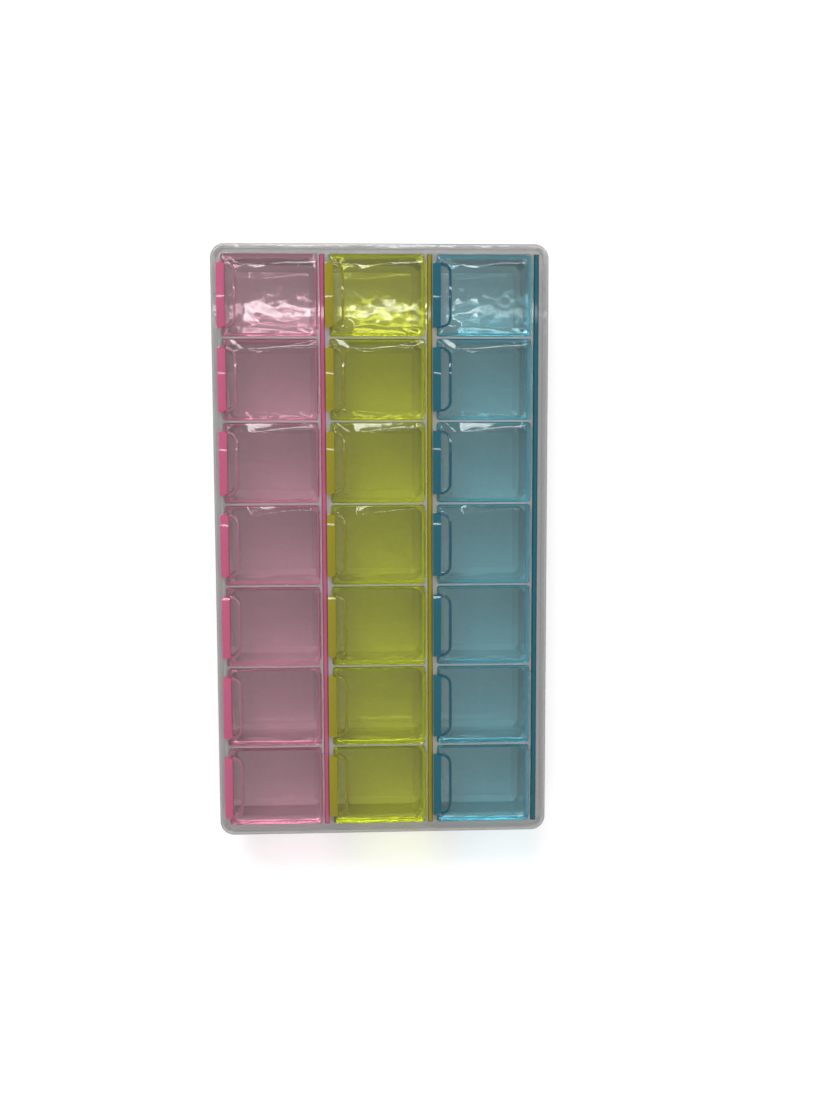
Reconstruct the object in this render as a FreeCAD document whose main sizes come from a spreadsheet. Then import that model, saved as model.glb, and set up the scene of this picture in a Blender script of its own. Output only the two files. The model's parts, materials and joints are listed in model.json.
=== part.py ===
import FreeCAD, Part
import Sketcher
import os

# Weekly pill organizer: a clear tray of 3 columns by 7 wells, with a strip of hinged lids on each column.
# Millimetres. Origin under the middle of the tray, X across the columns, Y along them, Z up.

DRIVING_SIZES = {
    # tray outline
    "tray_length": 174.0,
    "tray_width": 97.6,
    "rim_height": 18.0,
    "rim_corner": 4.2,
    "rim_band": 1.7,
    "rim_flange": 2.6,
    "rim_edge_round": 0.6,
    "flange_step": 0.5,
    "deck_drop": 0.3,
    "outer_wall": 1.5,
    "foot_inset": 1.1,
    "core_height": 10.5,
    "underside_recess": 0.5,
    # wells
    "end_margin": 3.0,
    "side_margin": 2.9,
    "row_wall": 0.55,
    "column_wall": 1.2,
    "ledge": 0.9,
    "ledge_clearance": 0.05,
    "well_draft_inset": 0.7,
    "well_corner": 0.6,
    "cup_corner": 1.8,
    "floor_bevel": 1.6,
    "floor_thickness": 1.2,
    "cup_wall": 1.2,
    # lids
    "lid_depth": 3.2,
    "lid_plate": 1.1,
    "lid_skirt": 0.9,
    "lid_corner": 0.5,
    "lid_edge_bevel": 0.2,
    "lid_front_gap": 0.28,
    "lid_side_gap": 0.12,
    # finger tabs
    "tab_length": 18.5,
    "tab_reach": 5.4,
    "tab_overhang": 1.1,
    "tab_end_height": 0.9,
    "tab_arch": 0.8,
    "tab_corner": 2.9,
    "tab_wall": 0.7,
    "tab_strip": 2.3,
    "scoop_depth": 0.5,
    "tab_underside_gap": 0.15,
    "catch_height": 0.6,
    "catch_proud": 0.12,
    "catch_length": 8.0,
    "catch_depth": 2.1,
    # hinge strips
    "hinge_fin": 0.7,
    "slot_width": 1.5,
    "spine_depth": 5.0,
    "spine_clearance": 0.05,
    "spine_end_gap": 0.15,
    "spine_edge_bevel": 0.3,
    "hinge_radius": 0.3,
    "hinge_clearance": 0.05,
    "hinge_lip": 0.1,
    "web_length": 19.6,
    "web_end_gap": 0.25,
    "overrun": 1.0,
}
ROWS = 7
COLUMNS = ("pink", "yellow", "blue")

# Sizes that follow from the driving ones, as expressions over the sheet
WELL_LENGTH = (
    f"((sizes.tray_length - 2 * sizes.end_margin - {ROWS - 1} * sizes.row_wall) / {ROWS})"
)
HINGE_ROOM = "(sizes.hinge_fin + sizes.slot_width)"
WELL_WIDTH = (
    f"((sizes.tray_width - 2 * sizes.side_margin - {len(COLUMNS) - 1} * sizes.column_wall)"
    f" / {len(COLUMNS)} - {HINGE_ROOM})"
)
ROW_PITCH = f"({WELL_LENGTH} + sizes.row_wall)"
COLUMN_PITCH = f"({WELL_WIDTH} + {HINGE_ROOM} + sizes.column_wall)"
WELLS_SPAN = "(sizes.tray_length - 2 * sizes.end_margin)"
DECK_TOP = "(sizes.rim_height - sizes.deck_drop)"
LID_UNDERSIDE = "(sizes.rim_height - sizes.lid_plate)"
SKIRT_BOTTOM = "(sizes.rim_height - sizes.lid_depth)"
LEDGE_TOP = f"({SKIRT_BOTTOM} - sizes.ledge_clearance)"
WELL_FLOOR = "(sizes.underside_recess + sizes.floor_thickness)"
SLOT_FLOOR = "(sizes.rim_height - sizes.spine_depth)"
HINGE_X = f"({WELL_WIDTH} / 2)"
HINGE_Z = "(sizes.rim_height - sizes.hinge_radius)"
SLOT_LEFT = f"({WELL_WIDTH} / 2 + sizes.hinge_fin)"
SLOT_RIGHT = f"({SLOT_LEFT} + sizes.slot_width)"
CUT_TOP = "(sizes.rim_height + sizes.overrun)"

doc = FreeCAD.newDocument("pill_organizer")
sheet = doc.addObject("Spreadsheet::Sheet", "sizes")
for row, (alias, size) in enumerate(DRIVING_SIZES.items(), start=1):
    sheet.set(f"A{row}", alias)
    sheet.set(f"B{row}", str(size))
    sheet.setAlias(f"B{row}", alias)
doc.recompute()


LEVEL_TOLERANCE = 1e-4


def value(expression):
    return float(sheet.evalExpression(str(expression)))


def origin_plane(body, role):
    return next(plane for plane in body.Origin.OriginFeatures if plane.Role == role)


def add_sketch(body, name, role, offset):
    """An empty sketch on one of the body's own origin planes, moved along its normal."""
    sketch = body.newObject("Sketcher::SketchObject", name)
    sketch.AttachmentSupport = (origin_plane(body, role), [""])
    sketch.MapMode = "FlatFace"
    sketch.setExpression(".AttachmentOffset.Base.z", offset)
    sketch.Visibility = False
    return sketch


def bind(sketch, constraint, expression):
    index = sketch.addConstraint(constraint)
    sketch.setExpression(f"Constraints[{index}]", expression)


def place_point(sketch, geometry, point, across, up):
    """Ties one point of the sketch to its distances from the sketch's origin."""
    bind(sketch, Sketcher.Constraint("DistanceX", -1, 1, geometry, point, value(across)), across)
    bind(sketch, Sketcher.Constraint("DistanceY", -1, 1, geometry, point, value(up)), up)


def polygon(sketch, corners):
    """A closed outline of straight lines through corners given as pairs of expressions."""
    points = [FreeCAD.Vector(value(across), value(up), 0) for across, up in corners]
    for here, there in zip(points, points[1:] + points[:1]):
        sketch.addGeometry(Part.LineSegment(here, there), False)
    for number, (across, up) in enumerate(corners):
        following = (number + 1) % len(corners)
        sketch.addConstraint(Sketcher.Constraint("Coincident", number, 2, following, 1))
        place_point(sketch, number, 1, across, up)


def rectangle(sketch, left, right, low, high):
    polygon(sketch, [(left, low), (right, low), (right, high), (left, high)])


def bevelled_rectangle(sketch, half_width, half_length, corner, middle="0"):
    """A rectangle with its corners cut off, centred across on the middle."""
    outer, inner = f"({half_width})", f"({half_width} - {corner})"
    far, near = f"({half_length})", f"({half_length} - {corner})"
    corners = [
        (f"-{inner}", f"-{far}"), (inner, f"-{far}"), (outer, f"-{near}"), (outer, near),
        (inner, far), (f"-{inner}", far), (f"-{outer}", near), (f"-{outer}", f"-{near}"),
    ]
    polygon(sketch, [(f"{middle} + {across}", up) for across, up in corners])


def line(sketch, start, end):
    points = [FreeCAD.Vector(value(across), value(up), 0) for across, up in (start, end)]
    return sketch.addGeometry(Part.LineSegment(*points), False)


def quarter_arc(sketch, centre, radius, quarter):
    """A quarter circle that starts the given number of quarter turns round from the sketch's X axis."""
    middle = FreeCAD.Vector(value(centre[0]), value(centre[1]), 0)
    circle = Part.Circle(middle, FreeCAD.Vector(0, 0, 1), value(radius))
    turn = circle.LastParameter / 4
    return sketch.addGeometry(Part.ArcOfCircle(circle, quarter * turn, (quarter + 1) * turn), False)


def join(sketch, members, kind="Coincident"):
    """Joins each member's end to the start of the next, round a closed outline."""
    for here, there in zip(members, members[1:] + members[:1]):
        sketch.addConstraint(Sketcher.Constraint(kind, here, 2, there, 1))


def rounded_rectangle(sketch, half_width, half_length, corner):
    """A rectangle about the sketch's origin with round corners."""
    outer, inner = f"({half_width})", f"({half_width} - ({corner}))"
    far, near = f"({half_length})", f"({half_length} - ({corner}))"
    members = [
        line(sketch, (f"-{inner}", f"-{far}"), (inner, f"-{far}")),
        quarter_arc(sketch, (inner, f"-{near}"), corner, 3),
        line(sketch, (outer, f"-{near}"), (outer, near)),
        quarter_arc(sketch, (inner, near), corner, 0),
        line(sketch, (inner, far), (f"-{inner}", far)),
        quarter_arc(sketch, (f"-{inner}", near), corner, 1),
        line(sketch, (f"-{outer}", near), (f"-{outer}", f"-{near}")),
        quarter_arc(sketch, (f"-{inner}", f"-{near}"), corner, 2),
    ]
    join(sketch, members, "Tangent")
    for number, member in enumerate(members):
        if number % 4 == 0:
            sketch.addConstraint(Sketcher.Constraint("Horizontal", member))
        if number % 4 == 2:
            sketch.addConstraint(Sketcher.Constraint("Vertical", member))
        if number % 2 == 1 and number > 1:
            sketch.addConstraint(Sketcher.Constraint("Equal", members[1], member))
    bind(sketch, Sketcher.Constraint("Radius", members[1], value(corner)), corner)
    for number, axis, reach in ((0, "Y", f"-{far}"), (2, "X", outer), (4, "Y", far), (6, "X", f"-{outer}")):
        constraint = Sketcher.Constraint(f"Distance{axis}", -1, 1, members[number], 1, value(reach))
        bind(sketch, constraint, reach)


def tab_outline(sketch, left, right, half_length, corner):
    """The D shape of a finger tab: square at its free edge, round at the corners towards the lid."""
    inner, near = f"({right} - ({corner}))", f"({half_length} - ({corner}))"
    members = [
        line(sketch, (left, f"-{half_length}"), (inner, f"-{half_length}")),
        quarter_arc(sketch, (inner, f"-{near}"), corner, 3),
        line(sketch, (right, f"-{near}"), (right, near)),
        quarter_arc(sketch, (inner, near), corner, 0),
        line(sketch, (inner, half_length), (left, half_length)),
        line(sketch, (left, half_length), (left, f"-{half_length}")),
    ]
    join(sketch, members)
    place_point(sketch, members[0], 1, left, f"-{half_length}")
    place_point(sketch, members[1], 1, inner, f"-{half_length}")
    place_point(sketch, members[2], 1, right, f"-{near}")
    place_point(sketch, members[3], 1, right, near)
    place_point(sketch, members[4], 1, inner, half_length)
    place_point(sketch, members[5], 1, left, half_length)
    for arc in (members[1], members[3]):
        bind(sketch, Sketcher.Constraint("Radius", arc, value(corner)), corner)


def centred_outline(body, name, level, width, length, corner, outline=rounded_rectangle):
    """An outline about the origin, at one level."""
    sketch = add_sketch(body, name, "XY_Plane", level)
    outline(sketch, f"({width}) / 2", f"({length}) / 2", corner)
    return sketch


def extrude(body, kind, name, sketch, length, symmetric=False, reverse=False):
    """A pad or a pocket of a sketch, by a bound length."""
    feature = body.newObject(f"PartDesign::{kind}", name)
    feature.Profile = sketch
    feature.setExpression("Length", length)
    feature.SideType = "Symmetric" if symmetric else "One side"
    feature.Reversed = reverse
    return feature


def names_at(elements, kind, level):
    """The names of the flat edges or faces of a shape that lie at one level."""
    names = []
    for number, element in enumerate(elements, start=1):
        box = element.BoundBox
        if abs(box.ZMin - level) < LEVEL_TOLERANCE and abs(box.ZMax - level) < LEVEL_TOLERANCE:
            names.append(f"{kind}{number}")
    return names


def draft_walls(body, name, feature, fixed_level, inset, drop):
    """Leans the upright walls of a pad inwards below a fixed level, by an inset over a drop."""
    doc.recompute()
    upright = [
        f"Face{number}"
        for number, face in enumerate(feature.Shape.Faces, start=1)
        if face.BoundBox.ZLength > value(drop) / 2
    ]
    draft = body.newObject("PartDesign::Draft", name)
    draft.Base = (feature, upright)
    draft.NeutralPlane = (feature, names_at(feature.Shape.Faces, "Face", value(fixed_level)))
    draft.setExpression("Angle", f"atan(({inset}) / ({drop}))")
    draft.Reversed = True
    return draft


def dress_edges(body, kind, name, feature, level, size):
    """A fillet or a chamfer on the edges of a feature at one level."""
    doc.recompute()
    dressing = body.newObject(f"PartDesign::{kind}", name)
    dressing.Base = (feature, names_at(feature.Shape.Edges, "Edge", value(level)))
    dressing.setExpression("Radius" if kind == "Fillet" else "Size", size)
    return dressing


def new_body(name):
    body = doc.addObject("PartDesign::Body", name)
    body.Label = name
    return body


def copies(master, name, across, along):
    """One placed copy of a master body."""
    copy = doc.addObject("Part::Compound", name)
    copy.Label = name
    copy.Links = [master]
    copy.setExpression(".Placement.Base.x", across)
    copy.setExpression(".Placement.Base.y", along)
    return copy


def group(name, members):
    compound = doc.addObject("Part::Compound", name)
    compound.Label = name
    compound.Links = members
    return compound


def cut(name, base, tool):
    result = doc.addObject("Part::Cut", name)
    result.Label = name
    result.Base = base
    result.Tool = tool
    return result


def column_centre(column):
    """Middle of a column's wells across the tray."""
    return f"-sizes.tray_width / 2 + sizes.side_margin + {WELL_WIDTH} / 2 + {column} * {COLUMN_PITCH}"


def row_centre(row):
    """Middle of a row's wells along the tray, the first row at the far end."""
    return f"{WELLS_SPAN} / 2 - {WELL_LENGTH} / 2 - {row} * {ROW_PITCH}"


# The tray before anything is cut from it: drafted outer wall under a rounded flange
def make_tray_blank():
    body = new_body("tray_blank")
    flange_level = "(sizes.rim_height - sizes.rim_flange)"
    shoulder = centred_outline(
        body, "shoulder_outline", flange_level,
        "sizes.tray_width - 2 * sizes.flange_step",
        "sizes.tray_length - 2 * sizes.flange_step",
        "sizes.rim_corner - sizes.flange_step",
    )
    wall = extrude(body, "Pad", "outer_wall", shoulder, flange_level, reverse=True)
    draft_walls(body, "outer_draft", wall, flange_level, "sizes.foot_inset", flange_level)
    rim = centred_outline(
        body, "rim_outline", flange_level, "sizes.tray_width", "sizes.tray_length", "sizes.rim_corner"
    )
    flange = extrude(body, "Pad", "rim_flange_pad", rim, "sizes.rim_flange")
    body.Tip = dress_edges(body, "Fillet", "rim_round", flange, "sizes.rim_height", "sizes.rim_edge_round")
    return body


# The space of one well: the lid's recess, the drafted cup under the ledge and the notch for the hinge web
def make_well_space():
    body = new_body("well_space")
    depth = f"({LEDGE_TOP} - {WELL_FLOOR})"
    ledge = centred_outline(
        body, "ledge_outline", LEDGE_TOP,
        f"{WELL_WIDTH} - 2 * sizes.ledge", f"{WELL_LENGTH} - 2 * sizes.ledge", "sizes.cup_corner",
        bevelled_rectangle,
    )
    cup = extrude(body, "Pad", "cup_pad", ledge, depth, reverse=True)
    draft = draft_walls(body, "cup_draft", cup, LEDGE_TOP, "sizes.well_draft_inset", depth)
    dress_edges(body, "Chamfer", "floor_bevel", draft, WELL_FLOOR, "sizes.floor_bevel")
    recess = centred_outline(
        body, "recess_outline", LEDGE_TOP, WELL_WIDTH, WELL_LENGTH, "sizes.well_corner", bevelled_rectangle
    )
    extrude(body, "Pad", "recess_pad", recess, f"{CUT_TOP} - {LEDGE_TOP}")
    notch_floor = f"({HINGE_Z} - sizes.hinge_radius - sizes.hinge_clearance)"
    notch = add_sketch(body, "notch_outline", "XY_Plane", notch_floor)
    half_notch = "(sizes.web_length / 2 + sizes.web_end_gap)"
    rectangle(
        notch, f"{HINGE_X} - sizes.well_corner", f"{SLOT_LEFT} + sizes.slot_width / 2",
        f"-{half_notch}", half_notch,
    )
    body.Tip = extrude(body, "Pad", "notch_pad", notch, f"{CUT_TOP} - {notch_floor}")
    return body


# The outside of one well's cup, where it hangs into the hollow underside
def make_cup_outside():
    body = new_body("cup_outside")
    half_width = f"({WELL_WIDTH} / 2 - sizes.ledge + sizes.cup_wall)"
    half_length = f"({WELL_LENGTH} / 2 - sizes.ledge + sizes.cup_wall)"
    depth = f"({LEDGE_TOP} - sizes.underside_recess)"
    outline = add_sketch(body, "cup_outline", "XY_Plane", LEDGE_TOP)
    rectangle(outline, f"-{half_width}", half_width, f"-{half_length}", half_length)
    cup = extrude(body, "Pad", "cup_outside_pad", outline, depth, reverse=True)
    body.Tip = draft_walls(body, "cup_outside_draft", cup, LEDGE_TOP, "sizes.well_draft_inset", depth)
    return body


# The hollow underside inside the outer wall, before the cups are left standing in it
def make_underside_space():
    body = new_body("underside_space")
    inset = "2 * (sizes.flange_step + sizes.outer_wall)"
    outline = centred_outline(
        body, "underside_outline", "sizes.core_height",
        f"sizes.tray_width - {inset}", f"sizes.tray_length - {inset}",
        "sizes.rim_corner - sizes.flange_step",
    )
    depth = "(sizes.core_height + sizes.overrun)"
    hollow = extrude(body, "Pad", "underside_pad", outline, depth, reverse=True)
    body.Tip = draft_walls(body, "underside_draft", hollow, "sizes.core_height", "sizes.foot_inset", depth)
    return body


# The slot that a hinge strip's spine drops into
def make_spine_slot():
    body = new_body("spine_slot")
    outline = add_sketch(body, "slot_outline", "XY_Plane", SLOT_FLOOR)
    rectangle(outline, SLOT_LEFT, SLOT_RIGHT, f"-{WELLS_SPAN} / 2", f"{WELLS_SPAN} / 2")
    body.Tip = extrude(body, "Pad", "slot_pad", outline, "sizes.spine_depth + sizes.overrun")
    return body


# The shallow sink of the deck inside the rim, which lets the lids stand level with the rim
def make_deck_space():
    body = new_body("deck_space")
    outline = centred_outline(
        body, "deck_outline", DECK_TOP,
        "sizes.tray_width - 2 * sizes.rim_band", "sizes.tray_length - 2 * sizes.rim_band",
        "sizes.rim_corner - sizes.rim_band",
    )
    body.Tip = extrude(body, "Pad", "deck_pad", outline, "sizes.deck_drop + sizes.overrun")
    return body


# One lid: plate with a down-turned skirt, catch bead, hinge bead's seat and arched tab with a fingernail scoop
def make_lid():
    body = new_body("lid_master")
    front = f"(-{WELL_WIDTH} / 2 + sizes.lid_front_gap)"
    back = f"({HINGE_X} - sizes.hinge_lip)"
    side = f"({WELL_LENGTH} / 2 - sizes.lid_side_gap)"
    block = add_sketch(body, "lid_outline", "XY_Plane", SKIRT_BOTTOM)
    middle = f"({front} + {back}) / 2"
    bevelled_rectangle(block, f"({back} - {front}) / 2", side, "sizes.lid_corner", middle)
    plate = extrude(body, "Pad", "lid_block", block, "sizes.lid_depth")
    dress_edges(body, "Chamfer", "lid_top_bevel", plate, "sizes.rim_height", "sizes.lid_edge_bevel")

    tab_left = f"(-{WELL_WIDTH} / 2 - sizes.tab_overhang)"
    tab_right = f"({tab_left} + sizes.tab_reach)"
    tab_level = f"({DECK_TOP} + sizes.tab_underside_gap)"
    tab_top = "(sizes.rim_height + sizes.tab_end_height + sizes.tab_arch)"
    half_tab = "(sizes.tab_length / 2)"
    tab = add_sketch(body, "tab_outline", "XY_Plane", tab_level)
    tab_outline(tab, tab_left, tab_right, half_tab, "sizes.tab_corner")
    extrude(body, "Pad", "tab_block", tab, f"{tab_top} - {tab_level}")
    arch = add_sketch(body, "tab_arch_outline", "YZ_Plane", f"({tab_left} + {tab_right}) / 2")
    above_arch(arch, half_tab, "(sizes.rim_height + sizes.tab_end_height)", tab_top)
    extrude(body, "Pocket", "tab_arch_cut", arch, "2 * sizes.tab_reach", symmetric=True)

    inner_front = f"{front} + sizes.lid_skirt"
    inner_side = f"({side} - sizes.lid_skirt)"
    inside = add_sketch(body, "lid_inside_outline", "XY_Plane", SKIRT_BOTTOM)
    rectangle(inside, inner_front, f"{back} - sizes.lid_skirt", f"-{inner_side}", inner_side)
    hollow_depth = f"{LID_UNDERSIDE} - {SKIRT_BOTTOM}"
    extrude(body, "Pocket", "lid_inside", inside, hollow_depth, reverse=True)
    scoop_floor = "(sizes.rim_height - sizes.scoop_depth)"
    scoop = add_sketch(body, "scoop_outline", "XY_Plane", scoop_floor)
    inner_half_tab = f"({half_tab} - sizes.tab_wall)"
    inner_corner = "(sizes.tab_corner - sizes.tab_wall)"
    scoop_left = f"({tab_left} + sizes.tab_strip)"
    tab_outline(scoop, scoop_left, f"({tab_right} - sizes.tab_wall)", inner_half_tab, inner_corner)
    extrude(body, "Pocket", "tab_scoop", scoop, f"{tab_top} - {scoop_floor}", reverse=True)

    catch = add_sketch(body, "catch_outline", "XZ_Plane", "0")
    catch_level = "(sizes.rim_height - sizes.catch_depth)"
    catch_root = f"{front} + sizes.lid_skirt / 2"
    polygon(catch, [
        (f"{front} - sizes.catch_proud", catch_level),
        (catch_root, f"{catch_level} - sizes.catch_height"),
        (catch_root, f"{catch_level} + sizes.catch_height"),
    ])
    extrude(body, "Pad", "catch_bead", catch, "sizes.catch_length", symmetric=True)
    seat = add_sketch(body, "hinge_seat_outline", "XZ_Plane", "0")
    seat_half = "(sizes.hinge_radius + sizes.hinge_clearance)"
    rectangle(
        seat, f"{HINGE_X} - {seat_half}", f"{HINGE_X} + {seat_half}",
        f"{HINGE_Z} - {seat_half}", f"{HINGE_Z} + {seat_half}",
    )
    body.Tip = extrude(body, "Pocket", "hinge_seat", seat, WELLS_SPAN, symmetric=True)
    return body


def above_arch(sketch, half_length, end_level, top_level):
    """The region above a shallow arch, which a pocket takes off the finger tab."""
    half, end, top = value(half_length), value(end_level), value(top_level)
    over = f"{top_level} + sizes.overrun"
    corners = [(half, end), (half, value(over)), (-half, value(over)), (-half, end)]
    points = [FreeCAD.Vector(x, y, 0) for x, y in corners]
    for here, there in zip(points, points[1:]):
        sketch.addGeometry(Part.LineSegment(here, there), False)
    sketch.addGeometry(Part.Arc(points[0], FreeCAD.Vector(0, top, 0), points[3]), False)
    sketch.addConstraint(Sketcher.Constraint("Coincident", 0, 2, 1, 1))
    sketch.addConstraint(Sketcher.Constraint("Coincident", 1, 2, 2, 1))
    place_point(sketch, 0, 1, half_length, end_level)
    place_point(sketch, 1, 1, half_length, over)
    place_point(sketch, 2, 1, f"-{half_length}", over)
    place_point(sketch, 2, 2, f"-{half_length}", end_level)
    sketch.addConstraint(Sketcher.Constraint("Coincident", 0, 1, 3, 1))
    sketch.addConstraint(Sketcher.Constraint("Coincident", 2, 2, 3, 2))
    rise = f"({top_level} - {end_level})"
    arch_radius = f"({half_length}^2 + {rise}^2) / (2 * {rise})"
    bind(sketch, Sketcher.Constraint("Radius", 3, value(arch_radius)), arch_radius)


def web_profile(sketch, root):
    """A thin web from the spine to a bead whose round side faces the lid, about the hinge axis."""
    low, top = f"({HINGE_Z} - sizes.hinge_radius)", f"({HINGE_Z} + sizes.hinge_radius)"
    shoulder = f"({HINGE_X} + sizes.hinge_radius)"
    members = [
        quarter_arc(sketch, (HINGE_X, HINGE_Z), "sizes.hinge_radius", 1),
        quarter_arc(sketch, (HINGE_X, HINGE_Z), "sizes.hinge_radius", 2),
        line(sketch, (HINGE_X, low), (root, low)),
        line(sketch, (root, low), (root, HINGE_Z)),
        line(sketch, (root, HINGE_Z), (shoulder, HINGE_Z)),
        line(sketch, (shoulder, HINGE_Z), (HINGE_X, top)),
    ]
    join(sketch, members)
    place_point(sketch, members[0], 1, HINGE_X, top)
    place_point(sketch, members[1], 1, f"({HINGE_X} - sizes.hinge_radius)", HINGE_Z)
    place_point(sketch, members[2], 1, HINGE_X, low)
    place_point(sketch, members[3], 1, root, low)
    place_point(sketch, members[4], 1, root, HINGE_Z)
    place_point(sketch, members[5], 1, shoulder, HINGE_Z)
    for arc in members[:2]:
        bind(sketch, Sketcher.Constraint("Radius", arc, value("sizes.hinge_radius")), "sizes.hinge_radius")


# One hinge strip: the spine bar in its slot, and a thin web with a rounded bead beside each lid
def make_spine():
    body = new_body("hinge_strip_master")
    bar_left = f"({SLOT_LEFT} + sizes.spine_clearance)"
    bar_right = f"({SLOT_RIGHT} - sizes.spine_clearance)"
    half_bar = f"({WELLS_SPAN} / 2 - sizes.spine_end_gap)"
    outline = add_sketch(body, "bar_outline", "XY_Plane", SLOT_FLOOR)
    rectangle(outline, bar_left, bar_right, f"-{half_bar}", half_bar)
    bar = extrude(body, "Pad", "bar_pad", outline, "sizes.spine_depth")
    dress_edges(body, "Chamfer", "bar_bevel", bar, "sizes.rim_height", "sizes.spine_edge_bevel")
    first_row = f"-({row_centre(0)})"
    web_outline = add_sketch(body, "web_outline", "XZ_Plane", first_row)
    web_profile(web_outline, f"({bar_left} + sizes.spine_edge_bevel)")
    web = extrude(body, "Pad", "web_pad", web_outline, "sizes.web_length", symmetric=True)
    row = body.newObject("PartDesign::LinearPattern", "web_row")
    row.Originals = [web]
    row.Direction = (next(axis for axis in body.Origin.OriginFeatures if axis.Role == "Y_Axis"), [""])
    row.Reversed = True
    row.setExpression("Length", f"{ROWS - 1} * {ROW_PITCH}")
    row.Occurrences = ROWS
    body.Tip = row
    return body


tray_blank = make_tray_blank()
well_space = make_well_space()
cup_outside = make_cup_outside()
underside_space = make_underside_space()
spine_slot = make_spine_slot()
deck_space = make_deck_space()
lid = make_lid()
spine = make_spine()

sub_parts = []
well_spaces = []
cups = []
slots = []
for column, colour in enumerate(COLUMNS):
    across = column_centre(column)
    slots.append(copies(spine_slot, f"slot_{colour}", across, "0"))
    sub_parts.append(copies(spine, f"hinge_strip_{colour}", across, "0"))
    for row in range(ROWS):
        along = row_centre(row)
        well_spaces.append(copies(well_space, f"well_{colour}_{row + 1}", across, along))
        cups.append(copies(cup_outside, f"cup_{colour}_{row + 1}", across, along))
        sub_parts.append(copies(lid, f"lid_{colour}_{row + 1}", across, along))

underside = cut("underside_hollow", underside_space, group("all_cups", cups))
hollow_blank = cut("hollow_blank", tray_blank, underside)
tray_with_wells = cut("tray_with_wells", hollow_blank, group("all_wells", well_spaces))
tray_with_slots = cut("tray_with_slots", tray_with_wells, group("all_slots", slots))
base_tray = cut("base_tray", tray_with_slots, deck_space)
sub_parts.insert(0, base_tray)

doc.recompute()
for thing in doc.Objects:
    assert "Invalid" not in thing.State and "Error" not in thing.State, f"{thing.Label}: {thing.State}"
for part in sub_parts:
    assert not part.Shape.isNull() and part.Shape.isValid(), f"{part.Label} has a bad shape"
    assert len(part.Shape.Solids) == 1, f"{part.Label} has {len(part.Shape.Solids)} solids"

os.makedirs("parts", exist_ok=True)
for part in sub_parts:
    part.Shape.exportStep(f"parts/{part.Label}.step")
    print(part.Label, round(part.Shape.Volume, 1), part.Shape.BoundBox)
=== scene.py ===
import json
from math import radians

import bpy
from mathutils import Matrix, Vector

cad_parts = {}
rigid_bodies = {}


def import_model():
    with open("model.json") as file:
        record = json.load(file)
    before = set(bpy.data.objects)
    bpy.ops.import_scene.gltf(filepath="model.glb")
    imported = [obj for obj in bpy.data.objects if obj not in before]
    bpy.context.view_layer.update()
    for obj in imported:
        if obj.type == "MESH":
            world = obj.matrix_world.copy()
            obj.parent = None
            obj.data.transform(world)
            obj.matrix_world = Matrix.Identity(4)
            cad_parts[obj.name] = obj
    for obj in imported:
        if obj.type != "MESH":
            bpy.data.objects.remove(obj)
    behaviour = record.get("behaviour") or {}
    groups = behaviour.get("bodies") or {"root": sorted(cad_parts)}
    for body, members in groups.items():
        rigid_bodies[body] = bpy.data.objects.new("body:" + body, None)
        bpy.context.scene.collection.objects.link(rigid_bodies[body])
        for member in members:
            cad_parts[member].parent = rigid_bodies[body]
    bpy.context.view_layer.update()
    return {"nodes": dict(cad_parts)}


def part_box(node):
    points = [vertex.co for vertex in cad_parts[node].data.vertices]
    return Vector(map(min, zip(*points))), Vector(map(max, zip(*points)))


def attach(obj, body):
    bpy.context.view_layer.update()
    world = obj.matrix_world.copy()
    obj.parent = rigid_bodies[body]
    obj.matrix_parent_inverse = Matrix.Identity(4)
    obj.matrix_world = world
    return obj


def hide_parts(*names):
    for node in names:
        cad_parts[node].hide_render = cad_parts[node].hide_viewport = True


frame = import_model()

MM = 0.001

# Sizes shared by the pieces, in metres
COLUMNS = ("pink", "yellow", "blue")
ROWS = range(1, 8)
MERGE_DISTANCE = 0.002 * MM
CREASE_ANGLE = radians(35)
SMOOTH_ANGLE = radians(60)
TRAY_EDGE_ROUND = 0.12 * MM
LID_EDGE_ROUND = 0.1 * MM
SPINE_EDGE_ROUND = 0.06 * MM
BAR_WIDTH = 1.4 * MM
ROUND_SEGMENTS = 2
FLAT_FACE_WEIGHT = 100

# A lid's finger tab with its thick free strip and raised rim, and the crown of its plate
TAB_LENGTH = 18.5 * MM
TAB_RISE = 1.7 * MM
TAB_REACH = 5.4 * MM
STRIP_WIDTH = 2.37 * MM
TAB_SEAM = 0.01 * MM
TAB_MARGIN = 0.1 * MM
RIM_FOOT = 0.1 * MM
CROWN_BORDER = 2.6 * MM
CROWN_RISE = 0.32 * MM
LEVEL_TOLERANCE = 0.01 * MM

# The photograph's frame, and the camera that was fitted to the tray in it
PHOTO_HEIGHT_PX = 1096
FOCAL_LENGTH_PX = 1180
SENSOR_LONG_SIDE = 36.0
CAMERA_PLACE = Vector((-0.00767, 0.03151, 0.36363))
CAMERA_TURN = (-0.09359, -0.04712, -0.00318)
CLIP_START = 0.01


# Shared helpers

def only(piece):
    """Select one piece alone and make it active."""
    bpy.ops.object.select_all(action="DESELECT")
    piece.select_set(True)
    bpy.context.view_layer.objects.active = piece


def new_piece(name, mesh):
    """A mesh as a piece at the origin."""
    piece = bpy.data.objects.new(name, mesh)
    bpy.context.scene.collection.objects.link(piece)
    return piece


def merged_copy(node_name, name):
    """A copy of a CAD node's mesh with its loose triangles welded."""
    mesh = frame["nodes"][node_name].data.copy()
    mesh.name = name
    mesh.materials.clear()
    piece = new_piece(name, mesh)
    only(piece)
    bpy.ops.object.mode_set(mode="EDIT")
    bpy.ops.mesh.select_all(action="SELECT")
    bpy.ops.mesh.remove_doubles(threshold=MERGE_DISTANCE)
    bpy.ops.object.mode_set(mode="OBJECT")
    return piece


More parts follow.
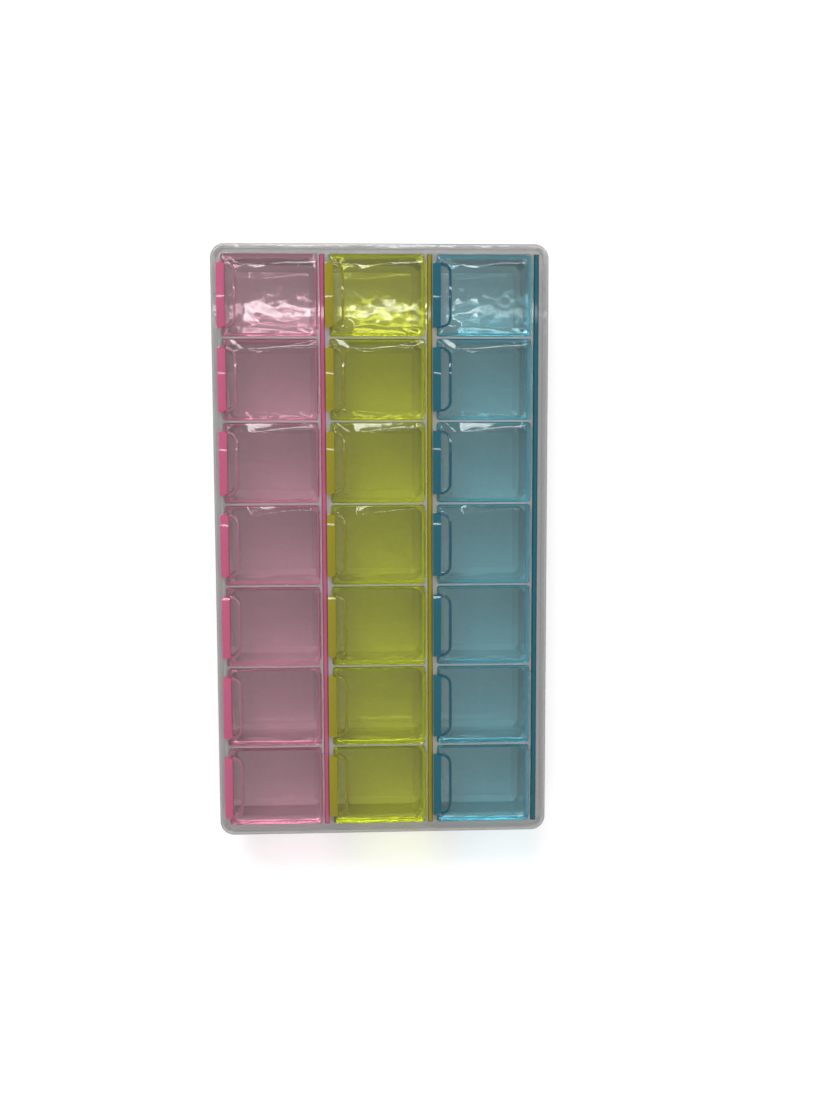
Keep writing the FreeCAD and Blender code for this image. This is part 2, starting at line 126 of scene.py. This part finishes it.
def round_edges(piece, radius):
    """Give the moulding the small radius that its tool leaves on every edge."""
    only(piece)
    bevel = piece.modifiers.new("edge_round", "BEVEL")
    bevel.width = radius
    bevel.segments = ROUND_SEGMENTS
    bevel.limit_method = "ANGLE"
    bevel.angle_limit = CREASE_ANGLE
    bevel.use_clamp_overlap = True
    bpy.ops.object.modifier_apply(modifier=bevel.name)
    shade_smooth(piece)


def shade_smooth(piece):
    """Smooth the rounds and keep the flat faces flat."""
    only(piece)
    bpy.ops.object.shade_smooth_by_angle(angle=SMOOTH_ANGLE)
    flat_faces = piece.modifiers.new("flat_faces", "WEIGHTED_NORMAL")
    flat_faces.mode = "FACE_AREA"
    flat_faces.weight = FLAT_FACE_WEIGHT
    flat_faces.keep_sharp = True
    bpy.ops.object.modifier_apply(modifier=flat_faces.name)


def copy_to(piece, name, shift):
    """A copy of a piece with its own mesh, moved by shift."""
    mesh = piece.data.copy()
    mesh.name = name
    mesh.transform(Matrix.Translation(shift))
    return new_piece(name, mesh)


def middle(node_name):
    """The middle of a CAD node's box."""
    low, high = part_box(node_name)
    return (Vector(low) + Vector(high)) / 2


# Shared shading groups

# The detail of the two noises, and the grain between which the haze sets in
WAVE_DETAIL = 1.0
GRAIN_DETAIL = 3.0
HAZE_FROM = 0.25
HAZE_TO = 0.75


def value_socket(face, name, in_out):
    """A plain number going into or out of a group."""
    face.new_socket(name, in_out=in_out, socket_type="NodeSocketFloat")


def mould_grain_group():
    """The slow waviness and fine grain of a moulded surface, as a bump height and a mask of hazy patches."""
    group = bpy.data.node_groups.new("mould_grain", "ShaderNodeTree")
    for name in ("Wave scale", "Grain scale", "Grain share"):
        value_socket(group.interface, name, "INPUT")
    for name in ("Height", "Haze"):
        value_socket(group.interface, name, "OUTPUT")
    nodes, links = group.nodes, group.links
    inlet = nodes.new("NodeGroupInput")
    outlet = nodes.new("NodeGroupOutput")
    place = nodes.new("ShaderNodeTexCoord")
    wave = nodes.new("ShaderNodeTexNoise")
    wave.inputs["Detail"].default_value = WAVE_DETAIL
    grain = nodes.new("ShaderNodeTexNoise")
    grain.inputs["Detail"].default_value = GRAIN_DETAIL
    height = nodes.new("ShaderNodeMix")
    haze = nodes.new("ShaderNodeMapRange")
    haze.interpolation_type = "SMOOTHSTEP"
    haze.inputs["From Min"].default_value = HAZE_FROM
    haze.inputs["From Max"].default_value = HAZE_TO
    links.new(place.outputs["Object"], wave.inputs["Vector"])
    links.new(place.outputs["Object"], grain.inputs["Vector"])
    links.new(inlet.outputs["Wave scale"], wave.inputs["Scale"])
    links.new(inlet.outputs["Grain scale"], grain.inputs["Scale"])
    links.new(inlet.outputs["Grain share"], height.inputs["Factor"])
    links.new(wave.outputs["Fac"], height.inputs["A"])
    links.new(grain.outputs["Fac"], height.inputs["B"])
    links.new(height.outputs["Result"], outlet.inputs["Height"])
    links.new(grain.outputs["Fac"], haze.inputs["Value"])
    links.new(haze.outputs["Result"], outlet.inputs["Haze"])
    return group


MOULD_GRAIN = mould_grain_group()


def moulded(material_name, wave_scale, grain_scale, grain_share, height, roughness, haze_roughness):
    """A new material with the moulded surface's bump and roughness on its Principled shader."""
    material = bpy.data.materials.new(material_name)
    material.use_nodes = True
    nodes, links = material.node_tree.nodes, material.node_tree.links
    nodes.clear()
    plastic = nodes.new("ShaderNodeBsdfPrincipled")
    plastic.name = "plastic"
    grain = nodes.new("ShaderNodeGroup")
    grain.name = "grain"
    grain.node_tree = MOULD_GRAIN
    grain.inputs["Wave scale"].default_value = wave_scale
    grain.inputs["Grain scale"].default_value = grain_scale
    grain.inputs["Grain share"].default_value = grain_share
    rough = nodes.new("ShaderNodeMapRange")
    rough.inputs["To Min"].default_value = roughness
    rough.inputs["To Max"].default_value = haze_roughness
    bump = nodes.new("ShaderNodeBump")
    bump.inputs["Strength"].default_value = 1.0
    bump.inputs["Distance"].default_value = height
    links.new(grain.outputs["Haze"], rough.inputs["Value"])
    links.new(rough.outputs["Result"], plastic.inputs["Roughness"])
    links.new(grain.outputs["Height"], bump.inputs["Height"])
    links.new(bump.outputs["Normal"], plastic.inputs["Normal"])
    return material


def colour_mix(material, first, second, factor):
    """A blend of two colours by a mask, on the Principled shader's Base Color."""
    nodes, links = material.node_tree.nodes, material.node_tree.links
    colour = nodes.new("ShaderNodeMix")
    colour.data_type = "RGBA"
    colour.inputs["A"].default_value = (*first, 1.0)
    colour.inputs["B"].default_value = (*second, 1.0)
    links.new(factor, colour.inputs["Factor"])
    links.new(colour.outputs["Result"], nodes["plastic"].inputs["Base Color"])


def lit_through(material, tint):
    """Lamps shine through the plastic with a tint, where a refracting surface alone would stop them."""
    nodes, links = material.node_tree.nodes, material.node_tree.links
    output = nodes.new("ShaderNodeOutputMaterial")
    light_path = nodes.new("ShaderNodeLightPath")
    passing = nodes.new("ShaderNodeBsdfTransparent")
    passing.inputs["Color"].default_value = (*tint, 1.0)
    surface = nodes.new("ShaderNodeMixShader")
    links.new(light_path.outputs["Is Shadow Ray"], surface.inputs["Fac"])
    links.new(nodes["plastic"].outputs["BSDF"], surface.inputs[1])
    links.new(passing.outputs["BSDF"], surface.inputs[2])
    links.new(surface.outputs["Shader"], output.inputs["Surface"])
    return output


# Materials

# How each colour dims light over a metre of plastic, and the tints of its plate, tab strip and tab rim
LID_DEPTH_COLOUR = {"pink": (0.97, 0.50, 0.70), "yellow": (0.95, 0.98, 0.02), "blue": (0.08, 0.84, 0.96)}
LID_DEPTH = {"pink": 260.0, "yellow": 700.0, "blue": 330.0}
PLATE_TINT = {"pink": (1.0, 0.88, 0.91), "yellow": (0.96, 0.97, 0.70), "blue": (0.87, 0.93, 0.94)}
STRIP_COLOUR = {"pink": (0.66, 0.15, 0.30), "yellow": (0.40, 0.35, 0.012), "blue": (0.008, 0.16, 0.22)}
RIM_COLOUR = {"pink": (0.50, 0.24, 0.33), "yellow": (0.36, 0.33, 0.03), "blue": (0.010, 0.15, 0.22)}
STRIP_PASSED = 0.45
RIM_PASSED = 0.6
TRAY_COLOUR = (0.43, 0.425, 0.42)
TRAY_HAZE_COLOUR = (0.40, 0.395, 0.39)
TRAY_PASSED = 0.6
TRAY_LIT_TINT = (0.72, 0.72, 0.72)
PLASTIC_IOR = 1.5
HAZE_SHARE = 0.94


def lid_plastic(colour):
    """Glossy transparent plastic whose colour deepens with thickness."""
    material = moulded(
        f"{colour}_lid_plastic", wave_scale=220.0, grain_scale=700.0, grain_share=0.02,
        height=0.035 * MM, roughness=0.02, haze_roughness=0.05,
    )
    nodes, links = material.node_tree.nodes, material.node_tree.links
    plastic = nodes["plastic"]
    plastic.inputs["IOR"].default_value = PLASTIC_IOR
    plastic.inputs["Transmission Weight"].default_value = 1.0
    haze = nodes["grain"].outputs["Haze"]
    colour_mix(material, PLATE_TINT[colour], [HAZE_SHARE * part for part in PLATE_TINT[colour]], haze)
    output = lit_through(material, PLATE_TINT[colour])
    depth = nodes.new("ShaderNodeVolumeAbsorption")
    depth.inputs["Color"].default_value = (*LID_DEPTH_COLOUR[colour], 1.0)
    depth.inputs["Density"].default_value = LID_DEPTH[colour]
    links.new(depth.outputs["Volume"], output.inputs["Volume"])
    return material


def thick_plastic(name, tint, passed):
    """The same plastic where it is thick: it gathers light along its length and glows in its full colour."""
    material = moulded(
        name, wave_scale=160.0, grain_scale=700.0, grain_share=0.1,
        height=0.012 * MM, roughness=0.02, haze_roughness=0.06,
    )
    nodes = material.node_tree.nodes
    plastic = nodes["plastic"]
    plastic.inputs["IOR"].default_value = PLASTIC_IOR
    plastic.inputs["Transmission Weight"].default_value = passed
    haze = nodes["grain"].outputs["Haze"]
    colour_mix(material, tint, [HAZE_SHARE * part for part in tint], haze)
    lit_through(material, tint)
    return material


def tray_plastic():
    """Clear but faintly smoky and frosted plastic, partly see-through."""
    material = moulded(
        "tray_plastic", wave_scale=300.0, grain_scale=1400.0, grain_share=0.02,
        height=0.03 * MM, roughness=0.02, haze_roughness=0.07,
    )
    plastic = material.node_tree.nodes["plastic"]
    plastic.inputs["IOR"].default_value = PLASTIC_IOR
    plastic.inputs["Transmission Weight"].default_value = TRAY_PASSED
    haze = material.node_tree.nodes["grain"].outputs["Haze"]
    colour_mix(material, TRAY_COLOUR, TRAY_HAZE_COLOUR, haze)
    lit_through(material, TRAY_LIT_TINT)
    return material


LID_PLASTIC = {colour: lid_plastic(colour) for colour in COLUMNS}
STRIP_PLASTIC = {
    colour: thick_plastic(f"{colour}_strip_plastic", STRIP_COLOUR[colour], STRIP_PASSED)
    for colour in COLUMNS
}
RIM_PLASTIC = {
    colour: thick_plastic(f"{colour}_rim_plastic", RIM_COLOUR[colour], RIM_PASSED)
    for colour in COLUMNS
}
TRAY_PLASTIC = tray_plastic()


# The pieces

def make_tray():
    """The clear tray with its moulded edge rounds."""
    tray = merged_copy("base_tray", "tray_shell")
    round_edges(tray, TRAY_EDGE_ROUND)
    tray.data.materials.append(TRAY_PLASTIC)
    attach(tray, "base")
    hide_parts("base_tray")


def cut_across(piece, place, normal):
    """Add edges to a piece where a plane crosses it."""
    only(piece)
    bpy.ops.object.mode_set(mode="EDIT")
    bpy.ops.mesh.select_all(action="SELECT")
    bpy.ops.mesh.bisect(plane_co=place, plane_no=normal)
    bpy.ops.object.mode_set(mode="OBJECT")


def crown_plate(lid, low, high):
    """Raise the middle of the lid's plate, so that its borders slope softly down to its edges."""
    plate_top = high.z - TAB_RISE
    near = Vector((low.x + TAB_REACH + CROWN_BORDER, low.y + CROWN_BORDER, plate_top))
    far = Vector((high.x - CROWN_BORDER, high.y - CROWN_BORDER, plate_top))
    for corner in (near, far):
        cut_across(lid, corner, (1, 0, 0))
        cut_across(lid, corner, (0, 1, 0))
    reach = Vector((LEVEL_TOLERANCE, LEVEL_TOLERANCE, LEVEL_TOLERANCE))
    for vertex in lid.data.vertices:
        if all(n <= v <= f for n, v, f in zip(near - reach, vertex.co, far + reach)):
            vertex.co.z += CROWN_RISE


def carve(piece, corners, operation):
    """Take a box away from a piece, or keep only what lies in it."""
    low, high = corners
    bpy.ops.object.select_all(action="DESELECT")
    bpy.ops.mesh.primitive_cube_add(size=1, location=(low + high) / 2, scale=high - low)
    block = bpy.context.active_object
    only(piece)
    carving = piece.modifiers.new("carving", "BOOLEAN")
    carving.operation = operation
    carving.solver = "MANIFOLD"
    carving.object = block
    bpy.ops.object.modifier_apply(modifier=carving.name)
    bpy.data.objects.remove(block)
    piece.data.materials.clear()
    shade_smooth(piece)


def make_spines():
    """The three spine strips, from one model whose bar is parted from its hinge webs."""
    model = merged_copy("hinge_strip_pink", "spine_model")
    round_edges(model, SPINE_EDGE_ROUND)
    low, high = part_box("hinge_strip_pink")
    bar_corner = Vector((high.x - BAR_WIDTH, low.y - TAB_MARGIN, low.z - TAB_MARGIN))
    far_corner = high + Vector((TAB_MARGIN, TAB_MARGIN, TAB_MARGIN))
    web_model = copy_to(model, "web_model", (0, 0, 0))
    carve(model, (bar_corner + Vector((TAB_SEAM, 0, 0)), far_corner), "INTERSECT")
    carve(web_model, (bar_corner, far_corner), "DIFFERENCE")
    parts = ((model, "spine", STRIP_PLASTIC), (web_model, "hinge_web", LID_PLASTIC))
    for colour in COLUMNS:
        node_name = f"hinge_strip_{colour}"
        shift = middle(node_name) - middle("hinge_strip_pink")
        for part_model, part_name, plastic in parts:
            piece = copy_to(part_model, f"{part_name}_{colour}", shift)
            piece.data.materials.append(plastic[colour])
            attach(piece, "base")
            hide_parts(node_name)
    for part_model in (model, web_model):
        bpy.data.objects.remove(part_model)


def make_lids():
    """The 21 lids, from one model whose tab strip and tab rim are parted from its cover."""
    model = merged_copy("lid_pink_1", "lid_model")
    low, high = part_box("lid_pink_1")
    crown_plate(model, low, high)
    round_edges(model, LID_EDGE_ROUND)
    front, back = ((low.y + high.y - side * TAB_LENGTH) / 2 - side * TAB_MARGIN for side in (1, -1))
    left, top = low.x - TAB_MARGIN, high.z + TAB_MARGIN
    strip_low = Vector((left, front, low.z - TAB_MARGIN))
    strip_high = Vector((low.x + STRIP_WIDTH, back, top))
    rim_low = Vector((left, front, high.z - TAB_RISE + RIM_FOOT))
    rim_high = Vector((low.x + TAB_REACH + TAB_MARGIN, back, top))
    side_seam = Vector((TAB_SEAM, TAB_SEAM, 0))
    floor_seam = Vector((0, 0, TAB_SEAM))
    rim_model = copy_to(model, "rim_model", (0, 0, 0))
    carve(rim_model, (rim_low + floor_seam, rim_high), "INTERSECT")
    carve(rim_model, (strip_low, strip_high), "DIFFERENCE")
    strip_model = copy_to(model, "strip_model", (0, 0, 0))
    carve(strip_model, (strip_low + side_seam, strip_high - side_seam), "INTERSECT")
    carve(model, (strip_low, strip_high), "DIFFERENCE")
    carve(model, (rim_low, rim_high), "DIFFERENCE")
    parts = (
        (model, "cover", LID_PLASTIC),
        (strip_model, "tab_strip", STRIP_PLASTIC),
        (rim_model, "tab_rim", RIM_PLASTIC),
    )
    for colour in COLUMNS:
        for row in ROWS:
            node_name = f"lid_{colour}_{row}"
            shift = middle(node_name) - middle("lid_pink_1")
            for part_model, part_name, plastic in parts:
                piece = copy_to(part_model, f"{part_name}_{colour}_{row}", shift)
                piece.data.materials.append(plastic[colour])
                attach(piece, node_name)
                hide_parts(node_name)
    for part_model in (model, strip_model, rim_model):
        bpy.data.objects.remove(part_model)


make_tray()
make_spines()
make_lids()


# The room

FLOOR_SIZE = 4.0
FLOOR_COLOUR = (0.82, 0.82, 0.82, 1.0)
FLOOR_GLOW = 0.25
WORLD_STRENGTH = 0.55

# Each lamp's name, place, target, width, length and power in watts
LAMPS = (
    ("soft_box", (-0.25, 1.0, 0.95), (0, 0, 0), 0.7, 0.5, 14.0),
    ("fill_box", (0.7, -0.9, 1.0), (0, 0, 0), 0.8, 0.8, 4.0),
    ("ceiling_tube", (-0.05, 0.19, 1.2), (-0.05, 0, 0), 0.34, 0.010, 0.13),
    ("far_tube", (0.21, 0.19, 1.2), (0.21, 0, 0), 0.18, 0.014, 0.03),
    ("wide_tube", (0.04, 0.30, 1.2), (0.04, 0, 0), 0.56, 0.04, 0.9),
    ("dash_tube", (-0.02, 0.19, 1.2), (-0.02, 0, 0), 0.56, 0.016, 0.34),
)


def make_floor():
    """A plain pale floor, a little brighter to the eye than it is to the object, that keeps the shadow."""
    bpy.ops.mesh.primitive_plane_add(size=FLOOR_SIZE, location=(0, 0, 0))
    floor = bpy.context.active_object
    floor.name = "floor"
    material = bpy.data.materials.new("pale_floor")
    material.use_nodes = True
    nodes, links = material.node_tree.nodes, material.node_tree.links
    nodes.clear()
    output = nodes.new("ShaderNodeOutputMaterial")
    paper = nodes.new("ShaderNodeBsdfDiffuse")
    paper.inputs["Color"].default_value = FLOOR_COLOUR
    glow = nodes.new("ShaderNodeEmission")
    light_path = nodes.new("ShaderNodeLightPath")
    seen = nodes.new("ShaderNodeMath")
    seen.operation = "ADD"
    seen_through = nodes.new("ShaderNodeMath")
    seen_through.operation = "ADD"
    strength = nodes.new("ShaderNodeMath")
    strength.operation = "MULTIPLY"
    strength.inputs[1].default_value = FLOOR_GLOW
    total = nodes.new("ShaderNodeAddShader")
    links.new(light_path.outputs["Is Camera Ray"], seen.inputs[0])
    links.new(light_path.outputs["Is Glossy Ray"], seen.inputs[1])
    links.new(seen.outputs[0], seen_through.inputs[0])
    links.new(light_path.outputs["Is Transmission Ray"], seen_through.inputs[1])
    links.new(seen_through.outputs[0], strength.inputs[0])
    links.new(strength.outputs[0], glow.inputs["Strength"])
    links.new(paper.outputs["BSDF"], total.inputs[0])
    links.new(glow.outputs["Emission"], total.inputs[1])
    links.new(total.outputs["Shader"], output.inputs["Surface"])
    floor.data.materials.append(material)


def make_world(strength):
    """Even pale light from all round."""
    world = bpy.data.worlds.new("studio")
    bpy.context.scene.world = world
    world.use_nodes = True
    back = world.node_tree.nodes["Background"]
    back.inputs["Color"].default_value = (1.0, 1.0, 1.0, 1.0)
    back.inputs["Strength"].default_value = strength


def add_lamp(name, place, target, width, length, power):
    """A flat lamp at place that faces target, its width across the scene."""
    data = bpy.data.lights.new(name, "AREA")
    data.shape = "RECTANGLE"
    data.size = width
    data.size_y = length
    data.energy = power
    lamp = bpy.data.objects.new(name, data)
    lamp.location = place
    lamp.rotation_euler = (Vector(target) - Vector(place)).to_track_quat("-Z", "Y").to_euler()
    bpy.context.scene.collection.objects.link(lamp)
    return lamp


def limit_lamp(lamp, pieces, state):
    """Let a lamp reach all but these pieces, or only these."""
    reached = bpy.data.collections.new(f"{lamp.name}_pieces")
    for piece in pieces:
        reached.objects.link(piece)
    for entry in reached.collection_objects:
        entry.light_linking.link_state = state
    lamp.light_linking.receiver_collection = reached


def make_lights():
    """A soft box from beyond the far end, a weaker one opposite, and ceiling tubes for the glints."""
    make_world(WORLD_STRENGTH)
    lamps = {name: add_lamp(name, *settings) for name, *settings in LAMPS}
    tab_strips = [piece for piece in bpy.context.scene.objects if piece.name.startswith("tab_strip_")]
    limit_lamp(lamps["wide_tube"], tab_strips, "EXCLUDE")
    limit_lamp(lamps["dash_tube"], tab_strips, "INCLUDE")



def make_camera():
    """The photograph's viewpoint."""
    data = bpy.data.cameras.new("photo_view")
    data.sensor_width = SENSOR_LONG_SIDE
    data.lens = SENSOR_LONG_SIDE * FOCAL_LENGTH_PX / PHOTO_HEIGHT_PX
    data.clip_start = CLIP_START
    camera = bpy.data.objects.new("photo_view", data)
    camera.location = CAMERA_PLACE
    camera.rotation_euler = CAMERA_TURN
    bpy.context.scene.collection.objects.link(camera)
    bpy.context.scene.camera = camera


bpy.ops.object.select_all(action="DESELECT")
make_floor()
make_lights()
make_camera()
bpy.context.scene.view_settings.view_transform = "Standard"
